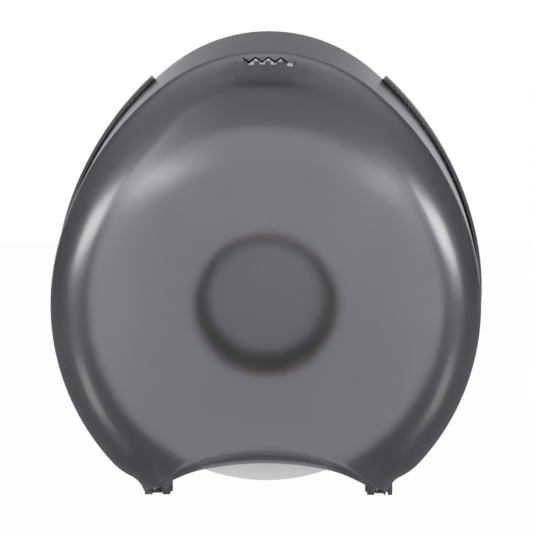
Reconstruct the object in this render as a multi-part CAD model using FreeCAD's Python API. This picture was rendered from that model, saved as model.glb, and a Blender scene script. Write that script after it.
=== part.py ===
import FreeCAD, Part
import math
import os

# Jumbo roll dispenser for a wall, all lengths in millimetres.
# X runs to the right, Y towards the wall, Z up. The wall is the plane y = 0 and the
# spindle axis is the line x = 0, z = 0, through the centre of the four wall holes.

# General
overrun = 5.0
fit_gap = 0.3
panel_gap = 0.8
running_gap = 0.05

# Cover outline, a chain of tangent arcs from the top centre down the right side
cover_front_y = -143.0
cover_rear_y = -4.0
shoulder_radius = 24.0
cover_wall = 2.5
top_front_z = 147.8
top_rear_z = 155.0
crown_front_radius = 101.0
crown_rear_radius = 99.0
flank_front_radius = 178.0
flank_rear_radius = 188.0
side_front_radius = 145.0
side_rear_radius = 161.8
belly_front_radius = 140.0
belly_rear_radius = 137.5
corner_front_radius = 38.0
corner_rear_radius = 40.7
leg_front_hollow = 15.0
leg_rear_hollow = 12.3
crown_end_deg = 39.0
flank_end_deg = 74.0
side_end_deg = 90.0
belly_end_deg = 132.0
corner_end_deg = 154.0
leg_end_deg = 98.0
outline_floor_z = -175.0

# Arch at the bottom of the cover, with its set back tear lip
arch_top_z = -95.5
arch_centre_radius = 178.0
arch_centre_deg = 11.7
arch_side_radius = 68.0
arch_side_deg = 44.0
band_top_z = -88.0
band_leg_lap = 1.463
band_end_deg = 41.0
lip_setback = 5.5
lip_wall = 2.0
lip_web = 2.5
lip_round = 4.5
leg_tip_z = -121.0
tooth_pitch = 2.4
tooth_height = 0.8

# Hinge at the foot of the legs
hinge_y = -13.0
hinge_drop = 13.273
hinge_pin_radius = 2.5
ear_radius = 8.0
ear_wall = 2.6
ear_sweep_radius = 12.0
eye_radius = 7.0
eye_width = 6.4
eye_shy = 0.4
leg_flat = 0.9
inner_ear_width = 4.5
base_leg_lap = 1.1
pin_tail = 1.0

# Base
base_panel = 3.0
cheek_wall = 1.8
cheek_gap = 1.5
cheek_depth = 20.0
cheek_end_deg = 41.0
crown_rim_depth = 7.0
crown_rim_wall = 2.0
base_arch_top_z = -110.0
boss_height = 3.0
spindle_boss_radius = 34.0
wall_hole_radius = 2.75
wall_hole_span_x = 152.0
wall_hole_span_z = 120.0
wall_pad_radius = 9.0
wall_pad_height = 1.5
rib_width = 2.0
rib_height = 5.0

# Spindle and core adapter
post_radius = 27.0
post_wall = 4.0
post_floor = 6.0
post_front_y = -111.0
post_flange_radius = 33.0
post_flange = 3.0
adapter_radius = 36.9
adapter_wall = 2.4
adapter_front_radius = 33.0
adapter_nose = 12.5
adapter_flange_radius = 47.0
adapter_flange = 2.5
cap_radius = 32.35
cap_thickness = 4.0
cap_round = 2.5
cap_stem = 10.0
cap_stem_wall = 3.0
spindle_screw_circle = 19.0
spindle_screw_count = 3
spindle_screw_radius = 1.6
spindle_screw_length = 8.0
spindle_head_radius = 3.8
spindle_head = 2.4
spindle_washer = 0.6
counterbore_depth = 3.2

# Roll
core_inner_radius = 41.7
core_wall = 1.6
roll_radius = 106.9
roll_width = 94.0
roll_stop_gap = 0.8
paper_inset = 0.5

# Keyway in the shoulder of the cover
key_slope_deg = 55.0
key_pitch = 3.75
key_runs = 7
key_height = 4.5
key_slot = 1.5
key_plate_width = 36.0
key_plate_height = 10.0
key_plate = 1.0
key_plate_depth = 4.6
key_screw_x = 15.8
key_screw_radius = 0.9
key_screw_length = 3.4
key_head_radius = 1.9
key_head = 1.2
key_boss_radius = 2.6

# Latch yoke, its guides and springs, all under the crown of the cover
arm_x = 23.0
arm_width = 4.6
arm_low_z = 134.0
arm_high_z = 142.0
arm_rear_y = -12.0
yoke_travel = 4.0
bar_front_y = -112.0
bar_depth = 6.0
block_half_width = 17.3
bar_high_z = 138.4
block_low_z = 126.0
block_high_z = 139.0
block_front_y = -122.0
tooth_front_y = -19.4
hook_height = 3.6
guide_front_y = -64.0
guide_depth = 12.0
guide_width = 9.0
guide_low_z = 123.5
guide_high_z = 145.0
guide_floor = 1.5
foot_length = 11.5
foot_thickness = 3.0
foot_screw_x = 12.5
guide_screw_radius = 1.5
guide_screw_length = 5.0
guide_head_radius = 2.8
guide_head = 1.8
guide_boss_radius = 4.0
spring_radius = 2.0
spring_wire = 0.5
spring_turns = 5
spring_pocket_radius = 2.7

# Steel catch on the base
catch_sheet = 0.8
catch_half_width = 27.0
catch_low_z = 136.0
catch_top_z = 146.8
catch_front_y = -21.0
catch_lip = 3.8
catch_pad_half_width = 29.0
catch_pad_low_z = 134.0
catch_pad_high_z = 146.0
catch_screw_x = 12.0
catch_screw_z = 141.0
catch_screw_radius = 1.9
catch_screw_length = 5.0
catch_head_radius = 3.4
catch_head = 2.0


def vec(x, y, z):
    return FreeCAD.Vector(x, y, z)


X_AXIS = vec(1, 0, 0)
Y_AXIS = vec(0, 1, 0)
Z_AXIS = vec(0, 0, 1)


def box(x0, x1, y0, y1, z0, z1):
    """Box between two corners."""
    return Part.makeBox(x1 - x0, y1 - y0, z1 - z0, vec(x0, y0, z0))


def rod(radius, start, axis, length):
    """Solid cylinder from a point along an axis."""
    return Part.makeCylinder(radius, length, start, axis)


def joined(shapes):
    """One solid from touching shapes."""
    first = shapes[0]
    if len(shapes) > 1:
        first = first.fuse(shapes[1:])
    return first.removeSplitter()


def save(name, shape):
    """Write one piece and print its size."""
    shape.exportStep("parts/" + name + ".step")
    print(name, "solids", len(shape.Solids), "volume", round(shape.Volume, 1), "valid", shape.isValid())


# Outline of the cover

shoulder_y = cover_front_y + shoulder_radius
side_run = cover_rear_y - shoulder_y
headings = [crown_end_deg, flank_end_deg, side_end_deg, belly_end_deg, corner_end_deg, leg_end_deg]
front_radii = [crown_front_radius, flank_front_radius, side_front_radius,
               belly_front_radius, corner_front_radius, -leg_front_hollow]
rear_radii = [crown_rear_radius, flank_rear_radius, side_rear_radius,
              belly_rear_radius, corner_rear_radius, -leg_rear_hollow]


def step_along(point, radius, start_deg, end_deg):
    """Follow an arc in the x, z plane from one heading to another."""
    a = math.radians(start_deg)
    b = math.radians(end_deg)
    dx = radius * (math.sin(b) - math.sin(a))
    dz = radius * (math.cos(b) - math.cos(a))
    return (point[0] + dx, point[1] + dz)


def outline_chain(y, grow):
    """Corner and middle points of each arc of the right half at depth y."""
    share = (y - shoulder_y) / side_run
    point = (0.0, top_front_z + share * (top_rear_z - top_front_z) + grow)
    corners = [point]
    middles = []
    heading = 0.0
    for front, rear, end in zip(front_radii, rear_radii, headings):
        radius = front + share * (rear - front) + grow
        middles.append(step_along(point, radius, heading, (heading + end) / 2))
        point = step_along(point, radius, heading, end)
        corners.append(point)
        heading = end
    return corners, middles


def outline_wire(y, grow, floor_z):
    """Closed outline of the cover at depth y, pushed outwards by grow."""
    corners, middles = outline_chain(y, grow)
    right = [vec(p[0], y, p[1]) for p in corners]
    right_mid = [vec(p[0], y, p[1]) for p in middles]
    slope = 1 / math.tan(math.radians(leg_end_deg))
    foot = vec(right[-1].x - (floor_z - right[-1].z) * slope, y, floor_z)
    left = [vec(-p.x, y, p.z) for p in right]
    left_mid = [vec(-p.x, y, p.z) for p in right_mid]
    edges = [Part.Arc(left[1], right[0], right[1]).toShape()]
    for i in range(1, len(right_mid)):
        edges.append(Part.Arc(right[i], right_mid[i], right[i + 1]).toShape())
    left_foot = vec(-foot.x, y, foot.z)
    edges.append(Part.makeLine(right[-1], foot))
    edges.append(Part.makeLine(foot, left_foot))
    edges.append(Part.makeLine(left_foot, left[-1]))
    for i in range(len(left_mid) - 1, 0, -1):
        edges.append(Part.Arc(left[i + 1], left_mid[i], left[i]).toShape())
    return Part.Wire(edges)


def leg_knee(y):
    """Point at depth y where the straight part of one leg begins."""
    corners, middles = outline_chain(y, 0.0)
    return corners[-1]


def leg_x(y, z):
    """Outside of the straight part of one leg."""
    knee = leg_knee(y)
    return knee[0] - (z - knee[1]) / math.tan(math.radians(leg_end_deg))


hinge_z = leg_knee(hinge_y)[1] - hinge_drop
leg_hinge_x = leg_x(hinge_y, hinge_z)
band_radius = (leg_hinge_x - band_leg_lap) / math.sin(math.radians(band_end_deg))
ear_face_x = leg_hinge_x + cheek_gap
eye_outer_x = leg_hinge_x - eye_shy
eye_inner_x = eye_outer_x - eye_width
cover_reach_x = side_front_radius + side_rear_radius
base_leg_inner_x = eye_inner_x - panel_gap / 2 - inner_ear_width - base_leg_lap


def side_block(front_y, rear_y, grow, floor_z):
    """Solid inside the outline between two depths, with no rounded front."""
    wires = [outline_wire(front_y, grow, floor_z), outline_wire(rear_y, grow, floor_z)]
    return Part.makeLoft(wires, True, True)


def pan(inset, rear_y, floor_z):
    """Solid pan with the rounded shoulder, inset from the outside of the cover."""
    front_y = cover_front_y + inset
    block = side_block(front_y, rear_y, -inset, floor_z)
    rim = []
    for edge in block.Edges:
        ends = [v.Point for v in edge.Vertexes]
        on_front = all(abs(p.y - front_y) < fit_gap for p in ends)
        on_floor = all(abs(p.z - floor_z) < fit_gap for p in ends)
        if on_front and not on_floor:
            rim.append(edge)
    return block.makeFillet(shoulder_radius - inset, rim)


# Curves of the arch

def arch_points(top_z, radii, ends):
    """Corner and middle points of the right half of an arch."""
    point = (0.0, top_z)
    corners = [point]
    middles = []
    heading = 0.0
    for radius, end in zip(radii, ends):
        middles.append(step_along(point, radius, heading, (heading + end) / 2))
        point = step_along(point, radius, heading, end)
        corners.append(point)
        heading = end
    return corners, middles


def below_arch(corners, middles, side_x, y0, y1):
    """Everything below an arch curve, between two depths."""
    floor_z = outline_floor_z - 2 * overrun
    right = [vec(p[0], y0, p[1]) for p in corners]
    right_mid = [vec(p[0], y0, p[1]) for p in middles]
    edges = []
    for i in range(len(right_mid) - 1, -1, -1):
        a, m, b = right[i + 1], right_mid[i], right[i]
        edges.append(Part.Arc(vec(-a.x, y0, a.z), vec(-m.x, y0, m.z), vec(-b.x, y0, b.z)).toShape())
    for i in range(len(right_mid)):
        edges.append(Part.Arc(right[i], right_mid[i], right[i + 1]).toShape())
    tip = right[-1]
    path = [tip]
    if side_x > tip.x:
        path.append(vec(side_x, y0, tip.z))
    path.append(vec(path[-1].x, y0, floor_z))
    path = path + [vec(-p.x, y0, p.z) for p in reversed(path)]
    for a, b in zip(path, path[1:]):
        edges.append(Part.makeLine(a, b))
    face = Part.Face(Part.Wire(edges))
    return face.extrude(vec(0, y1 - y0, 0))


arch_radii = [arch_centre_radius, arch_side_radius]
arch_ends = [arch_centre_deg, arch_side_deg]
arch_front_y = cover_front_y - overrun
arch_rear_y = cover_rear_y + overrun


def lip_region():
    """Everything below the edge of the tear lip."""
    corners, middles = arch_points(arch_top_z, arch_radii, arch_ends)
    return below_arch(corners, middles, 0.0, arch_front_y, arch_rear_y)


def band_region(raise_by):
    """Everything below the line where the face turns in to the lip."""
    corners, middles = arch_points(band_top_z + raise_by, [band_radius - raise_by], [band_end_deg])
    return below_arch(corners, middles, 0.0, arch_front_y, arch_rear_y)


# Keyway

def key_frame():
    """Placement on the shoulder: x across, y up the slope, z out of the cover."""
    slope = math.radians(key_slope_deg)
    outwards = vec(0, -math.cos(slope), math.sin(slope))
    upwards = vec(0, math.sin(slope), math.cos(slope))
    turn = FreeCAD.Rotation(X_AXIS, upwards, outwards, "XYZ")
    centre = vec(0, shoulder_y, top_front_z - shoulder_radius)
    return FreeCAD.Placement(centre, turn)


def key_slot_tool():
    """Zigzag slot through the shoulder."""
    half = key_slot / 2
    high = []
    low = []
    for i in range(key_runs + 1):
        x = (i - key_runs / 2) * key_pitch
        y = key_height / 2 if i % 2 == 0 else -key_height / 2
        high.append(vec(x, y + half, 0))
        low.append(vec(x, y - half, 0))
    ring = high + low[::-1] + [high[0]]
    face = Part.Face(Part.makePolygon(ring))
    tool = face.extrude(vec(0, 0, shoulder_radius + overrun))
    tool.Placement = key_frame()
    return tool


key_plate_out = shoulder_radius - key_plate_depth


def keyway_plate():
    """Steel ward plate behind the slot."""
    half = key_plate_width / 2
    plate = box(-half, half, -key_plate_height / 2, key_plate_height / 2,
                key_plate_out - key_plate, key_plate_out)
    for side in (-1, 1):
        hole = rod(key_screw_radius + fit_gap / 2, vec(side * key_screw_x, 0, 0), Z_AXIS, shoulder_radius)
        plate = plate.cut(hole)
    plate.Placement = key_frame()
    return plate.cut(key_slot_tool())


def keyway_screws():
    """Two small screws that hold the ward plate."""
    screws = []
    seat = key_plate_out - key_plate
    for side in (-1, 1):
        head = rod(key_head_radius, vec(side * key_screw_x, 0, seat - key_head), Z_AXIS, key_head)
        shank = rod(key_screw_radius, vec(side * key_screw_x, 0, seat - key_head / 2), Z_AXIS,
                    key_screw_length + key_head / 2)
        screw = joined([head, shank])
        screw.Placement = key_frame()
        screws.append(screw)
    return Part.makeCompound(screws)


def key_bosses():
    """Studs inside the shoulder that the ward plate sits on."""
    bosses = []
    for side in (-1, 1):
        boss = rod(key_boss_radius, vec(side * key_screw_x, 0, key_plate_out), Z_AXIS,
                   shoulder_radius - cover_wall / 2 - key_plate_out)
        boss.Placement = key_frame()
        bosses.append(boss)
    return bosses


def key_boss_holes():
    """Pilot holes for the ward plate screws."""
    holes = []
    for side in (-1, 1):
        hole = rod(key_screw_radius, vec(side * key_screw_x, 0, 0), Z_AXIS,
                   key_plate_out - key_plate + key_screw_length + fit_gap)
        hole.Placement = key_frame()
        holes.append(hole)
    return holes


# Cover

def guide_middle_y():
    return guide_front_y + guide_depth / 2


def guide_boss(side, outer):
    """Boss under the crown that one guide foot is screwed to."""
    start = vec(side * foot_screw_x, guide_middle_y(), guide_high_z)
    return rod(guide_boss_radius, start, Z_AXIS, top_rear_z - guide_high_z).common(outer)


def guide_boss_hole(side):
    start = vec(side * foot_screw_x, guide_middle_y(), guide_high_z - overrun)
    reach = guide_screw_length - foot_thickness + fit_gap
    return rod(guide_screw_radius, start, Z_AXIS, overrun + reach)


def leg_trim():
    """What the legs lose below their sloping foot and behind the hinge eye."""
    foot_z = hinge_z - eye_radius
    deep = outline_floor_z - 3 * overrun
    front_y = cover_front_y - overrun
    slope = (foot_z - leg_tip_z) / (hinge_y - shoulder_y)
    front_z = leg_tip_z + (front_y - shoulder_y) * slope
    wide = cover_reach_x
    ring = [vec(-wide, front_y, front_z), vec(-wide, hinge_y, foot_z), vec(-wide, hinge_y, hinge_z),
            vec(-wide, overrun, hinge_z), vec(-wide, overrun, deep), vec(-wide, front_y, deep),
            vec(-wide, front_y, front_z)]
    trim = Part.Face(Part.makePolygon(ring)).extrude(vec(2 * wide, 0, 0))
    keep = rod(eye_radius, vec(-wide, hinge_y, hinge_z), X_AXIS, 2 * wide)
    return trim.cut(keep)


def ear_room(inner_x, outer_x, side):
    """Round room about the hinge axis, so that leg and ear can turn past each other."""
    start = vec(inner_x if side > 0 else -outer_x, hinge_y, hinge_z)
    return rod(ear_sweep_radius, start, X_AXIS, outer_x - inner_x)


def hinge_eye(side):
    """Round eye on the inside of one leg."""
    length = eye_outer_x - eye_inner_x
    start = vec(eye_inner_x if side > 0 else -eye_outer_x, hinge_y, hinge_z)
    return rod(eye_radius, start, X_AXIS, length)


def tear_teeth(blank):
    """Fine notches along the edge of the lip."""
    notches = []
    count = int(2 * arch_centre_radius * math.radians(arch_centre_deg) / tooth_pitch)
    centre_z = arch_top_z - arch_centre_radius
    turn = math.degrees(tooth_pitch / arch_centre_radius)
    for i in range(count):
        angle = math.radians((i - (count - 1) / 2) * turn)
        half = tooth_pitch / 2 / arch_centre_radius
        ring = []
        root = arch_centre_radius - overrun
        tip = arch_centre_radius + tooth_height
        for a, r in ((angle - half, root), (angle, tip), (angle + half, root)):
            ring.append(vec(r * math.sin(a), arch_front_y, centre_z + r * math.cos(a)))
        ring.append(ring[0])
        notches.append(Part.Face(Part.makePolygon(ring)).extrude(vec(0, arch_rear_y - arch_front_y, 0)))
    return blank.cut(notches)


def band_round():
    """Ring that rounds the edge where the face turns in to the lip."""
    near = band_radius + lip_round
    back_y = cover_front_y + lip_round
    bend = lip_round * (1 - math.sqrt(0.5))
    corners = [vec(band_radius, back_y, 0), vec(band_radius - overrun, back_y, 0),
               vec(band_radius - overrun, cover_front_y - overrun, 0), vec(near, cover_front_y - overrun, 0),
               vec(near, cover_front_y, 0)]
    edges = [Part.makeLine(a, b) for a, b in zip(corners, corners[1:])]
    middle = vec(band_radius + bend, cover_front_y + bend, 0)
    edges.append(Part.Arc(corners[-1], middle, corners[0]).toShape())
    ring = Part.Face(Part.Wire(edges)).revolve(vec(0, 0, 0), Y_AXIS, 360)
    ring.translate(vec(0, 0, band_top_z - band_radius))
    return ring


def front_cover():
    """Translucent front shell with shoulder, arch, tear lip, legs and hinge eyes."""
    outer = pan(0.0, cover_rear_y, outline_floor_z)
    inner = pan(cover_wall, cover_rear_y + overrun, outline_floor_z - overrun)
    band = band_region(0.0)
    band_up = band_region(lip_web)
    lip = lip_region()
    shell = outer.cut(inner).cut(band)
    lip_outer = pan(lip_setback, cover_rear_y, outline_floor_z)
    lip_inner = pan(lip_setback + lip_wall, cover_rear_y + overrun, outline_floor_z - overrun)
    rim = lip_outer.cut(lip_inner).common(band_up).cut(lip)
    rim = rim.cut(box(-roll_radius, roll_radius, shoulder_y, overrun, outline_floor_z, 0))
    web = outer.cut(lip_inner).common(band_up).cut(band)
    web = web.cut(box(-roll_radius, roll_radius, shoulder_y, overrun, outline_floor_z, 0))
    cover = joined([shell, rim, web]).cut(band_round())
    cover = cover.cut(leg_trim())
    cover = cover.cut([ear_room(leg_hinge_x + leg_flat, cover_reach_x, side) for side in (-1, 1)])
    extras = key_bosses()
    for side in (-1, 1):
        extras.append(hinge_eye(side))
        extras.append(guide_boss(side, outer))
    cover = joined([cover] + extras)
    cuts = [key_slot_tool()] + key_boss_holes()
    for side in (-1, 1):
        cuts.append(guide_boss_hole(side))
    start = vec(-cover_reach_x, hinge_y, hinge_z)
    cuts.append(rod(hinge_pin_radius + running_gap, start, X_AXIS, 2 * cover_reach_x))
    return cover.cut(cuts)


# Base

panel_front_y = -base_panel - boss_height


def crown_mask(y0, y1):
    """The part over the crown where the cheeks stop."""
    a = math.radians(crown_end_deg)
    first = crown_front_radius - flank_front_radius
    centre = (first * math.sin(a), top_front_z - crown_front_radius + first * math.cos(a))
    end = math.radians(cheek_end_deg)
    ring = []
    for reach in (crown_front_radius, flank_front_radius + crown_front_radius):
        ring.append((centre[0] + reach * math.sin(end), centre[1] + reach * math.cos(end)))
    points = [vec(p[0], y0, p[1]) for p in ring] + [vec(-p[0], y0, p[1]) for p in reversed(ring)]
    points.append(points[0])
    return Part.Face(Part.makePolygon(points)).extrude(vec(0, y1 - y0, 0))


def base_arch(y0, y1):
    """Everything below the arch of the base, between its two legs."""
    corners, middles = arch_points(base_arch_top_z, arch_radii, arch_ends)
    region = below_arch(corners, middles, 0.0, y0, y1)
    width = base_leg_inner_x
    return region.common(box(-width, width, y0, y1, outline_floor_z - overrun, 0))


def ear_trim():
    """Rounds the legs of the base off around the hinge line."""
    wide = cover_reach_x
    low = outline_floor_z - overrun
    block = box(-wide, wide, -cheek_depth - overrun, overrun, low, hinge_z)
    keep = rod(ear_radius, vec(-wide, hinge_y, hinge_z), X_AXIS, 2 * wide)
    back = box(-wide, wide, hinge_y, overrun, hinge_z - ear_radius, hinge_z)
    return block.cut(keep).cut(back)


def inner_ear(side):
    """Lug on the panel that holds the inner end of one hinge pin."""
    outer = eye_inner_x - panel_gap / 2
    start = outer - inner_ear_width
    x0 = start if side > 0 else -outer
    lug = rod(ear_radius, vec(x0, hinge_y, hinge_z), X_AXIS, inner_ear_width)
    root = box(x0, x0 + inner_ear_width, hinge_y, -base_panel / 2,
               hinge_z - ear_radius, hinge_z + ear_radius)
    return lug.fuse(root)


def outer_ear(side):
    """Round pad outside one leg that holds the outer end of the hinge pin."""
    start = vec(ear_face_x if side > 0 else -ear_face_x - ear_wall, hinge_y, hinge_z)
    return rod(ear_radius, start, X_AXIS, ear_wall)


def wall_hole_places():
    return [(sx * wall_hole_span_x / 2, sz * wall_hole_span_z / 2) for sx in (-1, 1) for sz in (-1, 1)]


def spindle_screw_places():
    places = []
    for i in range(spindle_screw_count):
        a = 2 * math.pi * i / spindle_screw_count + math.pi / 2
        places.append((spindle_screw_circle * math.cos(a), spindle_screw_circle * math.sin(a)))
    return places


def base_plate():
    """Moulded back panel with cheeks, hinge ears, bosses and wall holes."""
    low = outline_floor_z - overrun
    mask = crown_mask(-cheek_depth - overrun, overrun)
    plate = side_block(-base_panel, 0, 0.0, outline_floor_z)
    wide_plate = side_block(-base_panel, 0, cheek_gap + cheek_wall, outline_floor_z).cut(mask)
    cheek = side_block(-cheek_depth, 0, cheek_gap + cheek_wall, outline_floor_z)
    hollow = side_block(-cheek_depth - overrun, overrun, cheek_gap, low)
    cheek = cheek.cut(hollow).cut(mask)
    rim_out = cover_wall + panel_gap
    rim = side_block(-base_panel - crown_rim_depth, -base_panel / 2, -rim_out, outline_floor_z)
    rim_hole = side_block(-base_panel - crown_rim_depth - overrun, 0, -rim_out - crown_rim_wall, low)
    catch_room = catch_pad_half_width + panel_gap
    rim = rim.cut(rim_hole).common(mask)
    rim = rim.cut(box(-catch_room, catch_room, -cheek_depth, overrun, 0, top_rear_z))
    pieces = [plate, wide_plate, cheek, rim]
    pieces.append(rod(spindle_boss_radius, vec(0, panel_front_y, 0), Y_AXIS, -panel_front_y))
    pieces.append(box(-catch_pad_half_width, catch_pad_half_width, panel_front_y, -base_panel / 2,
                      catch_pad_low_z, catch_pad_high_z))
    for x, z in wall_hole_places():
        start = vec(x, -base_panel - wall_pad_height, z)
        pieces.append(rod(wall_pad_radius, start, Y_AXIS, wall_pad_height + base_panel / 2))
    for side in (-1, 1):
        x0, x1 = sorted((side * spindle_boss_radius / 2, side * (spindle_boss_radius / 2 + rib_width)))
        for z0, z1 in ((-base_rib_end(), 0), (0, base_rib_end())):
            pieces.append(box(x0, x1, -base_panel - rib_height / 2, -base_panel / 2, z0, z1))
    body = joined(pieces)
    body = body.cut(base_arch(-cheek_depth - overrun, overrun)).cut(ear_trim())
    extras = []
    front = box(-cover_reach_x, cover_reach_x, -cheek_depth - overrun, -base_panel, low, 0)
    for side in (-1, 1):
        body = body.cut(ear_room(0.0, ear_face_x, side).common(front))
        extras.append(inner_ear(side))
        extras.append(outer_ear(side))
    return joined([body] + extras).cut(base_holes())


def base_rib_end():
    return wall_hole_span_z / 2 + wall_pad_radius


def base_holes():
    """Wall holes, spindle screw holes, catch screw holes and pin bores."""
    front = panel_front_y - overrun
    tools = []
    for x, z in wall_hole_places():
        tools.append(rod(wall_hole_radius, vec(x, front, z), Y_AXIS, overrun - front))
    for x, z in spindle_screw_places():
        tools.append(rod(spindle_screw_radius + fit_gap, vec(x, front, z), Y_AXIS, overrun - front))
        tools.append(rod(spindle_head_radius + 2 * fit_gap, vec(x, -counterbore_depth, z), Y_AXIS,
                         counterbore_depth + overrun))
    for side in (-1, 1):
        tools.append(rod(catch_screw_radius, vec(side * catch_screw_x, front, catch_screw_z), Y_AXIS,
                         overrun + catch_screw_length + fit_gap))
    start = vec(-cover_reach_x, hinge_y, hinge_z)
    tools.append(rod(hinge_pin_radius, start, X_AXIS, 2 * cover_reach_x))
    return tools


def hinge_pin(side):
    """Steel pin through one eye and both ears."""
    inner = eye_inner_x - panel_gap / 2 - inner_ear_width - pin_tail
    outer = ear_face_x + ear_wall
    start = vec(inner if side > 0 else -outer, hinge_y, hinge_z)
    return rod(hinge_pin_radius, start, X_AXIS, outer - inner)


# Spindle

def turned(points):
    """Solid of revolution about the spindle axis from (radius, y) points."""
    ring = [vec(r, y, 0) for r, y in points]
    ring.append(ring[0])
    return Part.Face(Part.makePolygon(ring)).revolve(vec(0, 0, 0), Y_AXIS, 360)


def spindle_post():
    """Fixed tube that carries the core adapter."""
    inside = post_radius - post_wall
    flange_y = panel_front_y - post_flange
    post = turned([(0, panel_front_y), (post_flange_radius, panel_front_y), (post_flange_radius, flange_y),
                   (post_radius, flange_y), (post_radius, post_front_y), (inside, post_front_y),
                   (inside, panel_front_y - post_floor), (0, panel_front_y - post_floor)])
    pilots = []
    for x, z in spindle_screw_places():
        pilots.append(rod(spindle_screw_radius, vec(x, panel_front_y - post_floor - overrun, z), Y_AXIS,
                          post_floor + 2 * overrun))
    return post.cut(pilots)


def spindle_screws():
    """Three screws from the wall side into the floor of the post."""
    screws = []
    seat = -counterbore_depth + spindle_washer
    for x, z in spindle_screw_places():
        head = rod(spindle_head_radius, vec(x, seat, z), Y_AXIS, spindle_head)
        shank = rod(spindle_screw_radius, vec(x, seat - spindle_screw_length, z), Y_AXIS,
                    spindle_screw_length + spindle_head / 2)
        screws.append(joined([head, shank]))
    return Part.makeCompound(screws)


def spindle_washers():
    """Plain washers under the three screw heads."""
    washers = []
    for x, z in spindle_screw_places():
        disc = rod(spindle_head_radius, vec(x, -counterbore_depth, z), Y_AXIS, spindle_washer)
        hole = rod(spindle_screw_radius + fit_gap / 2, vec(x, -counterbore_depth - overrun, z), Y_AXIS,
                   spindle_washer + 2 * overrun)
        washers.append(disc.cut(hole))
    return Part.makeCompound(washers)


def core_adapter():
    """Drum that turns on the post and fills the core of the roll."""
    bore = post_radius + running_gap
    rear = panel_front_y - post_flange - panel_gap
    front = post_front_y
    flange = rear - adapter_flange
    pocket = front + adapter_nose
    return turned([(bore, rear), (bore + adapter_wall, rear), (bore + adapter_wall, pocket),
                   (adapter_radius - adapter_wall, pocket), (adapter_radius - adapter_wall, rear),
                   (adapter_flange_radius, rear), (adapter_flange_radius, flange), (adapter_radius, flange),
                   (adapter_radius, pocket), (adapter_front_radius, front), (bore, front)])


def spindle_cap():
    """Round cap plugged into the front of the post."""
    rear = post_front_y - panel_gap
    front = rear - cap_thickness
    disc = rod(cap_radius, vec(0, front, 0), Y_AXIS, cap_thickness)
    rim = [e for e in disc.Edges if abs(e.CenterOfMass.y - front) < fit_gap and e.Closed]
    disc = disc.makeFillet(cap_round, rim)
    inside = post_radius - post_wall
    stem = rod(inside, vec(0, rear - fit_gap, 0), Y_AXIS, cap_stem)
    hole = rod(inside - cap_stem_wall, vec(0, rear, 0), Y_AXIS, cap_stem)
    return joined([disc, stem]).cut(hole)


# Roll

roll_drop = core_inner_radius - adapter_radius - fit_gap
roll_rear_y = panel_front_y - post_flange - panel_gap - adapter_flange - roll_stop_gap
roll_front_y = roll_rear_y - roll_width


def tube(inner, outer, y0, y1, drop):
    start = vec(0, y0, -drop)
    far = vec(0, y0 - overrun, -drop)
    return rod(outer, start, Y_AXIS, y1 - y0).cut(rod(inner, far, Y_AXIS, y1 - y0 + 2 * overrun))


def roll_core():
    """Cardboard core, hanging on the adapter."""
    return tube(core_inner_radius, core_inner_radius + core_wall, roll_front_y, roll_rear_y, roll_drop)


def tissue_roll():
    """Wound paper on the core."""
    inner = core_inner_radius + core_wall + running_gap
    return tube(inner, roll_radius, roll_front_y + paper_inset, roll_rear_y - paper_inset, roll_drop)


# Latch

def latch_yoke():
    """Two hooked arms joined by a bar, with the block that the key presses."""
    limit = pan(cover_wall + panel_gap, cover_rear_y, outline_floor_z)
    half = arm_width / 2
    pieces = []
    for side in (-1, 1):
        x = side * arm_x
        arm = box(x - half, x + half, cover_front_y, arm_rear_y, arm_low_z, arm_high_z)
        pieces.append(arm.common(limit))
        pieces.append(box(x - half, x + half, tooth_front_y, arm_rear_y, arm_high_z - fit_gap,
                          arm_high_z + hook_height))
    pieces.append(box(-arm_x, arm_x, bar_front_y, bar_front_y + bar_depth, arm_low_z, bar_high_z))
    pieces.append(box(-block_half_width, block_half_width, block_front_y, bar_front_y + bar_depth,
                      block_low_z, block_high_z))
    return joined(pieces)


def yoke_guide(side):
    """Guide that holds one arm and the spring below it."""
    half = guide_width / 2
    x = side * arm_x
    y0 = guide_front_y
    y1 = guide_front_y + guide_depth
    body = box(x - half, x + half, y0, y1, guide_low_z, guide_high_z)
    foot_end = side * (arm_x - half - foot_length)
    x0, x1 = sorted((x, foot_end))
    foot = box(x0, x1, y0, y1, guide_high_z - foot_thickness, guide_high_z)
    window_half = arm_width / 2 + fit_gap
    window = box(x - window_half, x + window_half, y0 - overrun, y1 + overrun,
                 arm_low_z - yoke_travel - fit_gap, arm_high_z + fit_gap)
    pocket = rod(spring_pocket_radius, vec(x, guide_middle_y(), guide_low_z + guide_floor), Z_AXIS,
                 arm_low_z - guide_low_z - guide_floor)
    hole = rod(guide_screw_radius + fit_gap, vec(side * foot_screw_x, guide_middle_y(), guide_low_z), Z_AXIS,
               guide_high_z)
    return joined([body, foot]).cut([window, pocket, hole])


def guide_screws():
    """One screw up through each guide foot."""
    screws = []
    seat = guide_high_z - foot_thickness
    for side in (-1, 1):
        x = side * foot_screw_x
        head = rod(guide_head_radius, vec(x, guide_middle_y(), seat - guide_head), Z_AXIS, guide_head)
        shank = rod(guide_screw_radius, vec(x, guide_middle_y(), seat - guide_head / 2), Z_AXIS,
                    guide_screw_length + guide_head / 2)
        screws.append(joined([head, shank]))
    return Part.makeCompound(screws)


def arc_between(start, tangent, end):
    """Arc that leaves start along tangent and reaches end."""
    chord = end - start
    length = chord.Length
    along = vec(chord.x / length, chord.y / length, chord.z / length)
    across = tangent - along * tangent.dot(along)
    across.normalize()
    angle = tangent.getAngle(chord)
    middle = start + chord * 0.5 + across * (length / 2 * math.tan(angle / 2))
    return Part.Arc(start, middle, end).toShape()


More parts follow.
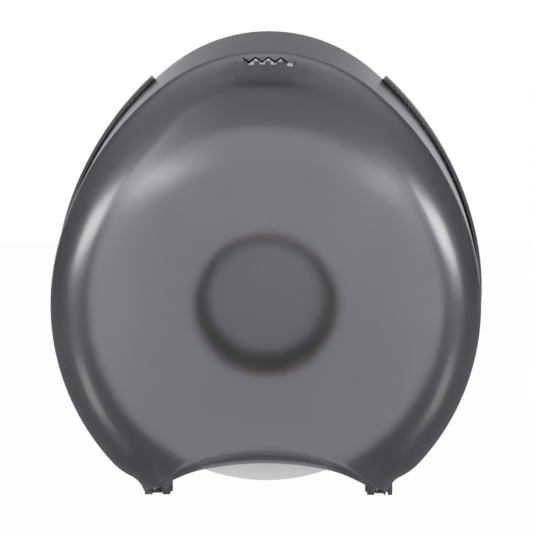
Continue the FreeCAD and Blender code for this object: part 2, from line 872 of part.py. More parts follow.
def coil_path(centre, radius, height, turns):
    """Helix as pairs of tangent arcs, four pairs to a turn."""
    steps = turns * 4
    rise = height / steps
    slope = rise / (math.pi / 2)
    points = []
    tangents = []
    for i in range(steps + 1):
        a = i * math.pi / 2
        points.append(centre + vec(radius * math.cos(a), radius * math.sin(a), rise * i))
        t = vec(-radius * math.sin(a), radius * math.cos(a), slope)
        t.normalize()
        tangents.append(t)
    edges = []
    for p, q, s, t in zip(points, points[1:], tangents, tangents[1:]):
        v = q - p
        both = s + t
        spread = 2 * (1 - s.dot(t))
        reach = (math.sqrt(v.dot(both) ** 2 + spread * v.dot(v)) - v.dot(both)) / spread
        middle = (p + s * reach + q - t * reach) * 0.5
        edges.append(arc_between(p, s, middle))
        bend = q - t * reach - middle
        bend.normalize()
        edges.append(arc_between(middle, bend, q))
    return Part.Wire(edges), points[0], tangents[0]


def return_spring(side):
    """Coil spring that pushes one arm up."""
    low = guide_low_z + guide_floor + spring_wire / 2 + running_gap
    high = arm_low_z - spring_wire / 2 - running_gap
    centre = vec(side * arm_x, guide_middle_y(), low)
    path, start, tangent = coil_path(centre, spring_radius, high - low, spring_turns)
    ring = Part.Wire([Part.Circle(start, tangent, spring_wire / 2).toShape()])
    coil = path.makePipeShell([ring], True, False)
    print("spring gap between turns", round((high - low) / spring_turns - spring_wire, 3))
    return coil


# Catch

def catch_spring():
    """Bent steel strip on the base whose lip the hooks snap behind."""
    t = catch_sheet
    seat = panel_front_y
    ring = [(seat, catch_low_z), (seat, catch_top_z), (catch_front_y, catch_top_z),
            (catch_front_y, catch_top_z - catch_lip), (catch_front_y + t, catch_top_z - catch_lip),
            (catch_front_y + t, catch_top_z - t), (seat - t, catch_top_z - t), (seat - t, catch_low_z)]
    points = [vec(-catch_half_width, y, z) for y, z in ring]
    points.append(points[0])
    strip = Part.Face(Part.makePolygon(points)).extrude(vec(2 * catch_half_width, 0, 0))
    holes = []
    for side in (-1, 1):
        start = vec(side * catch_screw_x, seat - t - overrun, catch_screw_z)
        holes.append(rod(catch_screw_radius + fit_gap, start, Y_AXIS, t + 2 * overrun))
    return strip.cut(holes)


def catch_screws():
    """Two screws that hold the catch to its pad."""
    screws = []
    seat = panel_front_y - catch_sheet
    for side in (-1, 1):
        x = side * catch_screw_x
        head = rod(catch_head_radius, vec(x, seat - catch_head, catch_screw_z), Y_AXIS, catch_head)
        shank = rod(catch_screw_radius, vec(x, seat - catch_head / 2, catch_screw_z), Y_AXIS,
                    catch_screw_length + catch_head / 2)
        screws.append(joined([head, shank]))
    return Part.makeCompound(screws)


os.makedirs("parts", exist_ok=True)
save("front_cover", tear_teeth(front_cover()))
save("keyway_plate", keyway_plate())
save("keyway_screws", keyway_screws())
save("base_plate", base_plate())
for label, side in (("left", -1), ("right", 1)):
    save("hinge_pin_" + label, hinge_pin(side))
    save("yoke_guide_" + label, yoke_guide(side))
    save("return_spring_" + label, return_spring(side))
save("guide_screws", guide_screws())
save("latch_yoke", latch_yoke())
save("catch_spring", catch_spring())
save("catch_screws", catch_screws())
save("spindle_post", spindle_post())
save("spindle_screws", spindle_screws())
save("spindle_washers", spindle_washers())
save("core_adapter", core_adapter())
save("spindle_cap", spindle_cap())
save("roll_core", roll_core())
save("tissue_roll", tissue_roll())
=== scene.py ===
import math
import bmesh
import bpy
from mathutils import Matrix, Vector


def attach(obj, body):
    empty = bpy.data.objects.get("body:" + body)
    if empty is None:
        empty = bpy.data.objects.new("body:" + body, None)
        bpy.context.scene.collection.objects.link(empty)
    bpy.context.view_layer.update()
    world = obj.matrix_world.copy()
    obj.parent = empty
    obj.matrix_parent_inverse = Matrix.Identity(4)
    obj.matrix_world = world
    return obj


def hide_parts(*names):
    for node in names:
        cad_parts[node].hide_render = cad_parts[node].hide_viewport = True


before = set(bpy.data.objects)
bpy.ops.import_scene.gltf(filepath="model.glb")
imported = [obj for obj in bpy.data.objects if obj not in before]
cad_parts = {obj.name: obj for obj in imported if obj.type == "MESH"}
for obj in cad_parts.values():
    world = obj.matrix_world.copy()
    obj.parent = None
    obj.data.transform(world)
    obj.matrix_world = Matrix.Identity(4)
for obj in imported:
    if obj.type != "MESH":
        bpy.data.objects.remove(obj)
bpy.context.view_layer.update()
print("frame loaded:", len(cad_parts), "nodes")

# All lengths are metres. X right, Y into the wall, Z up, spindle axis through the origin.

coverForm = {
    "frontY": -0.143, "rearY": -0.004, "shoulder": 0.024, "wall": 0.0025,
    "topFront": 0.1478, "topRear": 0.155, "floor": -0.175,
    "frontRadii": (0.101, 0.178, 0.145, 0.140, 0.038, -0.015),
    "rearRadii": (0.099, 0.188, 0.1618, 0.1375, 0.0407, -0.0123),
    "headings": (39, 74, 90, 132, 154, 98),
    "stepDeg": 2.0, "sideRings": 9, "shoulderRings": 14, "sharpDeg": 28,
}
shoulderY = coverForm["frontY"] + coverForm["shoulder"]

# How far a cutting shape runs past what it cuts
past = {"near": 0.005, "front": 0.01, "leg": 0.015, "back": 0.02, "bossTop": 0.002, "side": 0.2, "trim": 0.3}
# Sides of the round shapes
sides = {"eye": 64, "sweep": 96, "bore": 48, "stud": 32, "boss": 40, "bossHole": 24, "screwHole": 20,
         "pip": (20, 12), "bandQuarter": 10, "bandTurn": 240}
weldBelow = 1e-7


# Mesh helpers

def meshObject(name, bm):
    mesh = bpy.data.meshes.new(name)
    bm.to_mesh(mesh)
    bm.free()
    piece = bpy.data.objects.new(name, mesh)
    bpy.context.scene.collection.objects.link(piece)
    return piece


def closedObject(name, bm):
    bmesh.ops.remove_doubles(bm, verts=bm.verts[:], dist=weldBelow)
    bmesh.ops.recalc_face_normals(bm, faces=bm.faces[:])
    return meshObject(name, bm)


def carve(piece, tool, how="DIFFERENCE"):
    cut = piece.modifiers.new("cut", "BOOLEAN")
    cut.operation = how
    cut.solver = "MANIFOLD"
    cut.object = tool
    graph = bpy.context.evaluated_depsgraph_get()
    shaped = bpy.data.meshes.new_from_object(piece.evaluated_get(graph))
    piece.modifiers.clear()
    piece.data = shaped
    bpy.data.objects.remove(tool)
    return piece


def smoothBy(piece, degrees):
    # Smooth shading between sharp edges, led by the large faces
    faces = piece.data.polygons
    faces.foreach_set("use_smooth", [True] * len(faces))
    piece.data.set_sharp_from_angle(angle=math.radians(degrees))
    weighted = piece.modifiers.new("weighted", "WEIGHTED_NORMAL")
    weighted.keep_sharp = True


def lastVert(made):
    return [v for v in made["geom_last"] if isinstance(v, bmesh.types.BMVert)][0]


def followArcs(bm, tip, side, radii, headings, stepDeg):
    # Spins one vertex through a chain of tangent arcs; a heading of 0 runs along X, 90 runs down
    heading = 0.0
    for radius, end in zip(radii, headings):
        angle = math.radians(heading)
        centre = tip.co - radius * Vector((side * math.sin(angle), 0, math.cos(angle)))
        steps = max(3, round(abs(end - heading) / stepDeg))
        made = bmesh.ops.spin(bm, geom=[tip], cent=centre, axis=(0, 1, 0),
                              angle=side * math.radians(end - heading), steps=steps)
        tip = lastVert(made)
        heading = end
    return tip


def extrudeVert(bm, vert, place):
    new = bmesh.ops.extrude_vert_indiv(bm, verts=[vert])["verts"][0]
    new.co = place
    return new


def outlineAt(y, grow=0):
    # Top and radii of the cover's outline at one depth, pushed outwards by grow
    share = max(0.0, (y - shoulderY) / (coverForm["rearY"] - shoulderY))
    radii = []
    for front, rear in zip(coverForm["frontRadii"], coverForm["rearRadii"]):
        radii.append(front + share * (rear - front) + grow)
    top = coverForm["topFront"] + share * (coverForm["topRear"] - coverForm["topFront"]) + grow
    return top, radii


def outlineRing(bm, y, grow, floorZ):
    before = set(bm.edges)
    top, radii = outlineAt(y, grow)
    crown = bm.verts.new((0, y, top))
    feet = []
    for side in (1, -1):
        knee = followArcs(bm, crown, side, radii, coverForm["headings"], coverForm["stepDeg"])
        drop = floorZ - knee.co.z
        lean = -side * drop / math.tan(math.radians(coverForm["headings"][-1]))
        feet.append(extrudeVert(bm, knee, knee.co + Vector((lean, 0, drop))))
    bm.edges.new(feet)
    return [e for e in bm.edges if e not in before]


def loftRings(bm, rings):
    for first, second in zip(rings, rings[1:]):
        bmesh.ops.bridge_loops(bm, edges=first + second)
    bmesh.ops.contextual_create(bm, geom=rings[0])
    bmesh.ops.contextual_create(bm, geom=rings[-1])


def pan(name, inset, rearY, floorZ):
    # Solid with the drafted sides and the round shoulder of the cover, inset from its outside
    bm = bmesh.new()
    rings = []
    for i in range(coverForm["sideRings"] + 1):
        y = rearY + (shoulderY - rearY) * i / coverForm["sideRings"]
        rings.append(outlineRing(bm, y, -inset, floorZ))
    radius = coverForm["shoulder"] - inset
    for i in range(1, coverForm["shoulderRings"] + 1):
        angle = math.pi / 2 * i / coverForm["shoulderRings"]
        y = shoulderY - radius * math.sin(angle)
        rings.append(outlineRing(bm, y, -inset - radius * (1 - math.cos(angle)), floorZ))
    loftRings(bm, rings)
    return closedObject(name, bm)


def block(name, low, high):
    bm = bmesh.new()
    size = Vector(high) - Vector(low)
    place = Matrix.Translation((Vector(high) + Vector(low)) / 2)
    bmesh.ops.create_cube(bm, size=1, matrix=place @ Matrix.Diagonal((*size, 1)))
    return closedObject(name, bm)


def rod(name, radius, start, end, segments):
    bm = bmesh.new()
    start, end = Vector(start), Vector(end)
    turn = (end - start).to_track_quat("Z", "Y").to_matrix().to_4x4()
    place = Matrix.Translation((start + end) / 2) @ turn
    bmesh.ops.create_cone(bm, cap_ends=True, segments=segments, radius1=radius, radius2=radius,
                          depth=(end - start).length, matrix=place)
    return closedObject(name, bm)


def prism(name, bm, along):
    # Pushes the flat outline in bm along a direction into a closed solid
    bmesh.ops.contextual_create(bm, geom=bm.edges[:])
    made = bmesh.ops.extrude_face_region(bm, geom=bm.faces[:])
    fresh = [g for g in made["geom"] if isinstance(g, bmesh.types.BMVert)]
    bmesh.ops.translate(bm, verts=fresh, vec=along)
    return closedObject(name, bm)


def polygonPrism(name, points, along):
    bm = bmesh.new()
    verts = [bm.verts.new(p) for p in points]
    for a, b in zip(verts, verts[1:] + verts[:1]):
        bm.edges.new((a, b))
    return prism(name, bm, along)


# Cover

archForm = {
    "lipTop": -0.0955, "radii": (0.178, 0.068), "headings": (11.7, 44.0), "stepDeg": 1.0,
    "bandTop": -0.088, "bandRadius": 0.111, "bandHeading": 41.0,
    "setback": 0.0055, "lipWall": 0.002, "web": 0.0025, "round": 0.0045, "legTip": -0.121,
}
hingeForm = {
    "y": -0.013, "z": -0.130, "eyeRadius": 0.007, "bore": 0.00255,
    "eyeWidth": 0.0064, "eyeShy": 0.0004, "legFlat": 0.0009, "sweep": 0.012,
}
keyForm = {
    "slopeDeg": 55.0, "pitch": 0.00375, "runs": 7, "height": 0.0045, "slot": 0.0020,
    "pipRadius": 0.0007, "pipSink": 0.0002, "pipBelow": (0.0012, 0.0017),
    "wallFrom": 0.018, "wallTilt": 0.1, "slack": 1e-5, "pipSlack": 2e-5,
    "studX": 0.0158, "studRadius": 0.0026, "studSeat": 0.0194, "hole": 0.0009, "holeEnd": 0.0221,
}
guideBoss = {"x": 0.0125, "y": -0.058, "radius": 0.004, "low": 0.145, "hole": 0.0015, "depth": 0.0023}


def belowArch(name, topZ, radii, headings, y0, y1):
    bm = bmesh.new()
    crown = bm.verts.new((0, y0, topZ))
    feet = []
    for side in (1, -1):
        tip = followArcs(bm, crown, side, radii, headings, archForm["stepDeg"])
        feet.append(extrudeVert(bm, tip, Vector((tip.co.x, y0, coverForm["floor"] - past["back"]))))
    bm.edges.new(feet)
    return prism(name, bm, (0, y1 - y0, 0))


def bandBelow(name, raiseBy, rearY):
    radius = archForm["bandRadius"] - raiseBy
    return belowArch(name, archForm["bandTop"] + raiseBy, [radius], [archForm["bandHeading"]],
                     coverForm["frontY"] - past["front"], rearY)


def bandRing():
    # Ring that rounds the edge where the face turns in to the lip
    inside = archForm["bandRadius"] - past["near"]
    near = archForm["bandRadius"] + archForm["round"]
    frontY = coverForm["frontY"]
    backY = frontY + archForm["round"]
    bm = bmesh.new()
    start = bm.verts.new((near, frontY, 0))
    made = bmesh.ops.spin(bm, geom=[start], cent=(near, backY, 0), axis=(0, 0, 1),
                          angle=-math.pi / 2, steps=sides["bandQuarter"])
    tip = lastVert(made)
    for place in ((inside, backY, 0), (inside, frontY - past["near"], 0), (near, frontY - past["near"], 0)):
        tip = extrudeVert(bm, tip, Vector(place))
    bm.edges.new((tip, start))
    bmesh.ops.spin(bm, geom=bm.verts[:] + bm.edges[:], cent=(0, 0, 0), axis=(0, 1, 0),
                   angle=math.tau, steps=sides["bandTurn"], use_merge=True)
    bmesh.ops.translate(bm, verts=bm.verts[:], vec=(0, 0, archForm["bandTop"] - archForm["bandRadius"]))
    return closedObject("bandRing", bm)


def legX(y, z):
    # Outside of the straight part of one leg
    bm = bmesh.new()
    top, radii = outlineAt(y)
    crown = bm.verts.new((0, y, top))
    knee = followArcs(bm, crown, 1, radii, coverForm["headings"], 90).co.copy()   # ends of the arcs only
    bm.free()
    return knee.x - (z - knee.z) / math.tan(math.radians(coverForm["headings"][-1]))


def legTrim():
    # What the legs lose below their sloping foot
    axisY, axisZ = hingeForm["y"], hingeForm["z"]
    footZ = axisZ - hingeForm["eyeRadius"]
    slope = (footZ - archForm["legTip"]) / (axisY - shoulderY)
    frontY = coverForm["frontY"] - past["near"]
    frontZ = archForm["legTip"] + (frontY - shoulderY) * slope
    rearY = past["near"]
    deep = coverForm["floor"] - past["leg"]
    wide = past["trim"]
    side = [(-wide, frontY, frontZ), (-wide, axisY, footZ), (-wide, axisY, axisZ),
            (-wide, rearY, axisZ), (-wide, rearY, deep), (-wide, frontY, deep)]
    trim = polygonPrism("legTrim", side, (2 * wide, 0, 0))
    eye = rod("eye", hingeForm["eyeRadius"], (-wide - past["front"], axisY, axisZ),
              (wide + past["front"], axisY, axisZ), sides["eye"])
    return carve(trim, eye)


def keyPlace():
    # From the slot's own axes, with Z out of the shoulder, to the object's
    slope = math.radians(keyForm["slopeDeg"])
    outwards = Vector((0, -math.cos(slope), math.sin(slope)))
    upwards = Vector((0, math.sin(slope), math.cos(slope)))
    turn = Matrix((Vector((1, 0, 0)), upwards, outwards)).transposed().to_4x4()
    centre = (0, shoulderY, coverForm["topFront"] - coverForm["shoulder"])
    return Matrix.Translation(centre) @ turn


def keyTurns():
    # Turns of the zigzag from left to right, and whether each is an upper one
    for i in range(keyForm["runs"] + 1):
        upper = i % 2 == 0
        x = (i - keyForm["runs"] / 2) * keyForm["pitch"]
        yield x, keyForm["height"] / 2 * (1 if upper else -1), upper


def keySlot():
    half = keyForm["slot"] / 2
    high, low = [], []
    for x, y, upper in keyTurns():
        high.append((x, y + half, 0))
        low.append((x, y - half, 0))
    tool = polygonPrism("keySlot", high + low[::-1], (0, 0, coverForm["shoulder"] + past["near"]))
    tool.data.transform(keyPlace())
    return tool


def pipCentres(cover):
    # Round reliefs under the turns of the key slot, sunk a little into the shoulder
    place = keyPlace()
    inwards = -(place.to_3x3() @ Vector((0, 0, 1)))
    centres = []
    for x, y, upper in keyTurns():
        start = place @ Vector((x, y - keyForm["pipBelow"][upper], coverForm["shoulder"] * 2))
        spot = cover.ray_cast(start, inwards)[1]
        centres.append(spot - inwards * (keyForm["pipRadius"] - keyForm["pipSink"]))
    return centres


def keyPip(centre):
    bm = bmesh.new()
    around, along = sides["pip"]
    bmesh.ops.create_uvsphere(bm, u_segments=around, v_segments=along, radius=keyForm["pipRadius"])
    bmesh.ops.translate(bm, verts=bm.verts[:], vec=centre)
    return closedObject("pip", bm)


def markSlot(cover, centres):
    # Marks the faces of the key slot's walls for painted shade and those of its round reliefs for a painted
    # highlight, both laid on by the material
    dark = cover.data.attributes.new("paintedSlotShade", "FLOAT", "FACE")
    glintMark = cover.data.attributes.new("paintedPipGlint", "FLOAT", "FACE")
    back = keyPlace().inverted()
    halfX = (keyForm["runs"] / 2) * keyForm["pitch"] + keyForm["slack"]
    halfY = (keyForm["height"] + keyForm["slot"]) / 2 + keyForm["slack"]
    for face in cover.data.polygons:
        place = back @ face.center
        if abs(place.x) > halfX + keyForm["pipRadius"] or place.z < keyForm["wallFrom"]:
            continue
        near = min((face.center - c).length for c in centres)
        if near < keyForm["pipRadius"] + keyForm["pipSlack"]:
            glintMark.data[face.index].value = 1.0
        elif abs(place.x) <= halfX and abs(place.y) <= halfY:
            if abs((back.to_3x3() @ face.normal).z) < keyForm["wallTilt"]:
                dark.data[face.index].value = 1.0


def shellWithArch():
    # Hollow shell with the arch, its set back lip and the sloping feet
    frontY, rearY, floorZ = coverForm["frontY"], coverForm["rearY"], coverForm["floor"]
    behind, under = rearY + past["near"], floorZ - past["near"]
    cover = pan("cover_shell", 0, rearY, floorZ)
    hollow = pan("hollow", coverForm["wall"], behind, under)
    carve(hollow, bandBelow("bandUp", archForm["web"], shoulderY))
    carve(cover, hollow)
    carve(cover, pan("lipInner", archForm["setback"] + archForm["lipWall"], behind, under))
    lip = pan("lipOuter", archForm["setback"], rearY, floorZ - past["back"])
    carve(lip, block("lipRoom", (-past["side"], frontY - past["front"], -past["side"]),
                     (past["side"], shoulderY, 0)), "INTERSECT")
    carve(lip, belowArch("lipBelow", archForm["lipTop"], archForm["radii"], archForm["headings"],
                         frontY - past["back"], rearY + past["back"]))
    band = bandBelow("band", 0, rearY + past["front"])
    carve(band, lip)
    carve(cover, band)
    carve(cover, bandRing())
    carve(cover, legTrim())
    return cover


def makeCover():
    form = coverForm
    cover = shellWithArch()
    hingeX = legX(hingeForm["y"], hingeForm["z"])
    eyeOut = hingeX - hingeForm["eyeShy"]
    axis = (hingeForm["y"], hingeForm["z"])
    for side in (1, -1):
        carve(cover, rod("sweep", hingeForm["sweep"], (side * (hingeX + hingeForm["legFlat"]), *axis),
                         (side * past["side"], *axis), sides["sweep"]))
        carve(cover, rod("eye", hingeForm["eyeRadius"], (side * (eyeOut - hingeForm["eyeWidth"]), *axis),
                         (side * eyeOut, *axis), sides["eye"]), "UNION")
        stud = rod("stud", keyForm["studRadius"], (side * keyForm["studX"], 0, keyForm["studSeat"]),
                   (side * keyForm["studX"], 0, form["shoulder"] - form["wall"] / 2), sides["stud"])
        stud.data.transform(keyPlace())
        carve(cover, stud, "UNION")
        x, y = side * guideBoss["x"], guideBoss["y"]
        carve(cover, rod("boss", guideBoss["radius"], (x, y, guideBoss["low"]),
                         (x, y, form["topFront"] + past["bossTop"]), sides["boss"]), "UNION")
    bpy.context.view_layer.update()
    centres = pipCentres(cover)
    carve(cover, keySlot())
    for centre in centres:
        carve(cover, keyPip(centre))
    for side in (1, -1):
        hole = rod("hole", keyForm["hole"], (side * keyForm["studX"], 0, 0),
                   (side * keyForm["studX"], 0, keyForm["holeEnd"]), sides["screwHole"])
        hole.data.transform(keyPlace())
        carve(cover, hole)
        x, y = side * guideBoss["x"], guideBoss["y"]
        carve(cover, rod("hole", guideBoss["hole"], (x, y, guideBoss["low"] - past["near"]),
                         (x, y, guideBoss["low"] + guideBoss["depth"]), sides["bossHole"]))
    carve(cover, rod("bore", hingeForm["bore"], (-past["side"], *axis), (past["side"], *axis),
                     sides["bore"]))
    smoothBy(cover, form["sharpDeg"])
    markSlot(cover, centres)
    return cover


cover = makeCover()
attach(cover, "cover")
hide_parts("front_cover")
print("cover made:", len(cover.data.polygons), "faces")


# Materials

grainForm = {"cloudDetail": 3.0, "grainDetail": 2.0, "noiseRoughness": 0.5, "bumpDepth": 0.0002}


def newMaterial(name):
    material = bpy.data.materials.new(name)
    material.use_nodes = True
    tree = material.node_tree
    tree.nodes.clear()
    out = tree.nodes.new("ShaderNodeOutputMaterial")
    shader = tree.nodes.new("ShaderNodeBsdfPrincipled")
    tree.links.new(shader.outputs["BSDF"], out.inputs["Surface"])
    return material, tree, shader, out


def objectCoords(tree, scale=(1, 1, 1), place=(0, 0, 0)):
    coords = tree.nodes.new("ShaderNodeTexCoord")
    mapping = tree.nodes.new("ShaderNodeMapping")
    mapping.inputs["Scale"].default_value = scale
    mapping.inputs["Location"].default_value = place
    tree.links.new(coords.outputs["Object"], mapping.inputs["Vector"])
    return mapping.outputs["Vector"]


def objectAxes(tree):
    axes = tree.nodes.new("ShaderNodeSeparateXYZ")
    tree.links.new(objectCoords(tree), axes.inputs["Vector"])
    return axes.outputs


def fromAxis(tree, centreZ=0):
    # Distance from a line along Y at this height
    length = tree.nodes.new("ShaderNodeVectorMath")
    length.operation = "LENGTH"
    tree.links.new(objectCoords(tree, (1, 0, 1), (0, 0, -centreZ)), length.inputs[0])
    return length.outputs["Value"]


def noiseAt(tree, vector, scale, detail):
    noise = tree.nodes.new("ShaderNodeTexNoise")
    noise.inputs["Scale"].default_value = scale
    noise.inputs["Detail"].default_value = detail
    noise.inputs["Roughness"].default_value = grainForm["noiseRoughness"]
    tree.links.new(vector, noise.inputs["Vector"])
    return noise.outputs["Fac"]


def remap(tree, value, low, high, fromLow=0.3, fromHigh=0.7, soft=False):
    # The usual range is where the noise has its values
    node = tree.nodes.new("ShaderNodeMapRange")
    if soft:
        node.interpolation_type = "SMOOTHSTEP"
    node.inputs["From Min"].default_value = fromLow
    node.inputs["From Max"].default_value = fromHigh
    node.inputs["To Min"].default_value = low
    node.inputs["To Max"].default_value = high
    tree.links.new(value, node.inputs["Value"])
    return node.outputs["Result"]


def combine(tree, operation, *parts):
    node = tree.nodes.new("ShaderNodeMath")
    node.operation = operation
    for i, part in enumerate(parts):
        tree.links.new(part, node.inputs[i])
    return node.outputs["Value"]


def blendColours(tree, value, first, second):
    mix = tree.nodes.new("ShaderNodeMix")
    mix.data_type = "RGBA"
    mix.inputs["A"].default_value = (*first, 1)
    mix.inputs["B"].default_value = (*second, 1)
    tree.links.new(value, mix.inputs["Factor"])
    return mix.outputs["Result"]


def layColour(tree, shader, share, colour):
    # Lays a colour over the shader's own where share is 1
    mix = tree.nodes.new("ShaderNodeMix")
    mix.data_type = "RGBA"
    mix.inputs["B"].default_value = (*colour, 1)
    tree.links.new(share, mix.inputs["Factor"])
    tree.links.new(shader.inputs["Base Color"].links[0].from_socket, mix.inputs["A"])
    tree.links.new(mix.outputs["Result"], shader.inputs["Base Color"])


def bumpNode(tree, height, strength, distance):
    bump = tree.nodes.new("ShaderNodeBump")
    bump.inputs["Strength"].default_value = strength
    bump.inputs["Distance"].default_value = distance
    tree.links.new(height, bump.inputs["Height"])
    return bump


def plainMaterial(name, look):
    material, tree, shader, out = newMaterial(name)
    vector = objectCoords(tree)
    cloud = noiseAt(tree, vector, look["cloudScale"], grainForm["cloudDetail"])
    grain = noiseAt(tree, vector, look["grainScale"], grainForm["grainDetail"])
    colour = blendColours(tree, remap(tree, cloud, 0, 1), look["dark"], look["light"])
    tree.links.new(colour, shader.inputs["Base Color"])
    tree.links.new(remap(tree, cloud, *look["roughness"]), shader.inputs["Roughness"])
    bump = bumpNode(tree, grain, look["bump"], grainForm["bumpDepth"])
    tree.links.new(bump.outputs["Normal"], shader.inputs["Normal"])
    return material


smokeLook = {
    "dark": (0.605, 0.585, 0.64), "light": (0.645, 0.625, 0.68), "roughness": (0.30, 0.34),
    # Painted shade and light: the base colour is multiplied darker low on the cover and lighter high up
    "paintedShadeLow": (0.56, 0.56, 0.56), "paintedLightHigh": (0.65, 0.65, 0.65), "paintedShadeFrom": -0.13, "paintedShadeTo": 0.12,
    "transmission": 0.965, "ior": 1.46, "coat": 0.75, "coatRoughness": 0.20, "coatIor": 1.50,
    "faceTint": (0.70, 0.69, 0.71), "sideTint": (0.93, 0.925, 0.935), "sideFrom": -0.138, "sideTo": -0.122,
    "domeFrom": 0.078, "domeTo": 0.128, "dome": 0.0072, "domeLow": -0.03, "domeHigh": 0.09,
    # Colour of the painted shade in the arch band, and where it lies
    "fold": (0.13, 0.125, 0.145), "foldFrom": -0.003, "foldTo": 0.0015,
    "foldFront": -0.1330, "foldBack": -0.1300, "rimFrom": 0.0012, "rimTo": 0.0024,
    # Painted shade colour for the key slot's walls, then painted highlight colour for its round reliefs
    "paintedSlotShade": (0.004, 0.004, 0.004), "paintedPipGlint": (0.50, 0.49, 0.51),
    "grainScale": 900.0, "cloudScale": 14.0, "bump": 0.08,
}


def bendFace(tree, shader, axes):
    # Tilts the face's shading softly towards the shoulder by a bump, in its upper half; the face itself
    # stays flat
    look = smokeLook
    fall = remap(tree, fromAxis(tree), 1, 0, look["domeFrom"], look["domeTo"], soft=True)
    upper = remap(tree, axes["Z"], 0, 1, look["domeLow"], look["domeHigh"], soft=True)
    dome = bumpNode(tree, combine(tree, "MULTIPLY", fall, upper), 1.0, look["dome"])
    tree.links.new(dome.outputs["Normal"], shader.inputs["Coat Normal"])
    tree.links.new(dome.outputs["Normal"], shader.inputs["Normal"].links[0].from_node.inputs["Normal"])


def paintFoldShade(tree, shader, axes):
    # Painted shade: a dark band in the arch where the face turns in, left off along the lip so that a
    # lighter rim stays
    look = smokeLook
    radius, lipRadius = archForm["bandRadius"], archForm["radii"][0]
    away = remap(tree, fromAxis(tree, archForm["bandTop"] - radius), 1, 0,
                 radius + look["foldFrom"], radius + look["foldTo"])
    rim = remap(tree, fromAxis(tree, archForm["lipTop"] - lipRadius), 0, 1,
                lipRadius + look["rimFrom"], lipRadius + look["rimTo"])
    frontal = remap(tree, axes["Y"], 1, 0, look["foldFront"], look["foldBack"])
    share = combine(tree, "MULTIPLY", combine(tree, "MULTIPLY", away, frontal), rim)
    layColour(tree, shader, share, look["fold"])


def paintSlotShadeAndGlint(tree, shader):
    # Painted shade on the walls of the key slot and a painted highlight on its round reliefs: solid colours
    # on the faces that markSlot marked, which let no light through
    marks = []
    for name in ("paintedSlotShade", "paintedPipGlint"):
        mark = tree.nodes.new("ShaderNodeAttribute")
        mark.attribute_name = name
        layColour(tree, shader, mark.outputs["Fac"], smokeLook[name])
        marks.append(mark.outputs["Fac"])
    clear = remap(tree, combine(tree, "ADD", *marks), smokeLook["transmission"], 0, 0, 1)
    tree.links.new(clear, shader.inputs["Transmission Weight"])


def letLampsThrough(tree, shader, axes):
    # Lamps reach the roll through the smoke wall
    look = smokeLook
    path = tree.nodes.new("ShaderNodeLightPath")
    clear = tree.nodes.new("ShaderNodeBsdfTransparent")
    aside = remap(tree, axes["Y"], 0, 1, look["sideFrom"], look["sideTo"])
    tree.links.new(blendColours(tree, aside, look["faceTint"], look["sideTint"]), clear.inputs["Color"])
    mix = tree.nodes.new("ShaderNodeMixShader")
    tree.links.new(path.outputs["Is Shadow Ray"], mix.inputs["Fac"])
    tree.links.new(shader.outputs["BSDF"], mix.inputs[1])
    tree.links.new(clear.outputs["BSDF"], mix.inputs[2])
    tree.links.new(mix.outputs["Shader"], tree.nodes["Material Output"].inputs["Surface"])


def smokeMaterial():
    look = smokeLook
    material = plainMaterial("smokeCover", look)
    tree = material.node_tree
    shader = tree.nodes["Principled BSDF"]
    shader.inputs["Transmission Weight"].default_value = look["transmission"]
    shader.inputs["IOR"].default_value = look["ior"]
    shader.inputs["Coat Weight"].default_value = look["coat"]
    shader.inputs["Coat Roughness"].default_value = look["coatRoughness"]
    shader.inputs["Coat IOR"].default_value = look["coatIor"]
    axes = objectAxes(tree)
    # Painted shade and light: darker towards the bottom of the cover, lighter towards the top
    upwards = remap(tree, axes["Z"], 0, 1, look["paintedShadeFrom"], look["paintedShadeTo"])
    shadeByHeight = tree.nodes.new("ShaderNodeMix")
    shadeByHeight.data_type = "RGBA"
    shadeByHeight.blend_type = "MULTIPLY"
    shadeByHeight.inputs["Factor"].default_value = 1.0
    tree.links.new(shader.inputs["Base Color"].links[0].from_socket, shadeByHeight.inputs["A"])
    tree.links.new(blendColours(tree, upwards, look["paintedShadeLow"], look["paintedLightHigh"]), shadeByHeight.inputs["B"])
    tree.links.new(shadeByHeight.outputs["Result"], shader.inputs["Base Color"])
    bendFace(tree, shader, axes)
    paintFoldShade(tree, shader, axes)
    paintSlotShadeAndGlint(tree, shader)
    letLampsThrough(tree, shader, axes)
    return material


blackLook = {
    "dark": (0.11, 0.11, 0.115), "light": (0.13, 0.13, 0.135), "roughness": (0.22, 0.30),
    "grainScale": 1400.0, "cloudScale": 20.0, "bump": 0.05,
}
# Painted light on the panel's front face behind the cover
paintedInsideLight = {"colour": (0.30, 0.295, 0.31), "reach": (0.118, 0.128), "faceY": (-0.0028, -0.0015)}
acetalLook = {
    "dark": (0.022, 0.022, 0.024), "light": (0.030, 0.030, 0.033), "roughness": (0.42, 0.52),
    "grainScale": 1600.0, "cloudScale": 40.0, "bump": 0.10,
}
paleLook = {
    "dark": (0.50, 0.50, 0.50), "light": (0.56, 0.56, 0.56), "roughness": (0.38, 0.48),
    "grainScale": 1500.0, "cloudScale": 30.0, "bump": 0.06,
}
boardLook = {
    "dark": (0.30, 0.22, 0.15), "light": (0.42, 0.32, 0.22), "roughness": (0.80, 0.92),
    "grainScale": 900.0, "cloudScale": 60.0, "bump": 0.25,
}
tissueLook = {
    "dark": (0.80, 0.80, 0.79), "light": (0.86, 0.86, 0.855), "roughness": (0.90, 0.98),
    "grainScale": 700.0, "cloudScale": 35.0, "bump": 0.35,
}
wardLook = {
    "dark": (0.030, 0.030, 0.032), "light": (0.045, 0.045, 0.048), "roughness": (0.35, 0.45),
    "grainScale": 1200.0, "cloudScale": 60.0, "bump": 0.06,
}
steelLook = {
    "dark": (0.50, 0.50, 0.51), "light": (0.62, 0.62, 0.63), "roughness": (0.28, 0.40),
    "grainScale": 1200.0, "cloudScale": 60.0, "bump": 0.08, "metallic": 1.0,
}


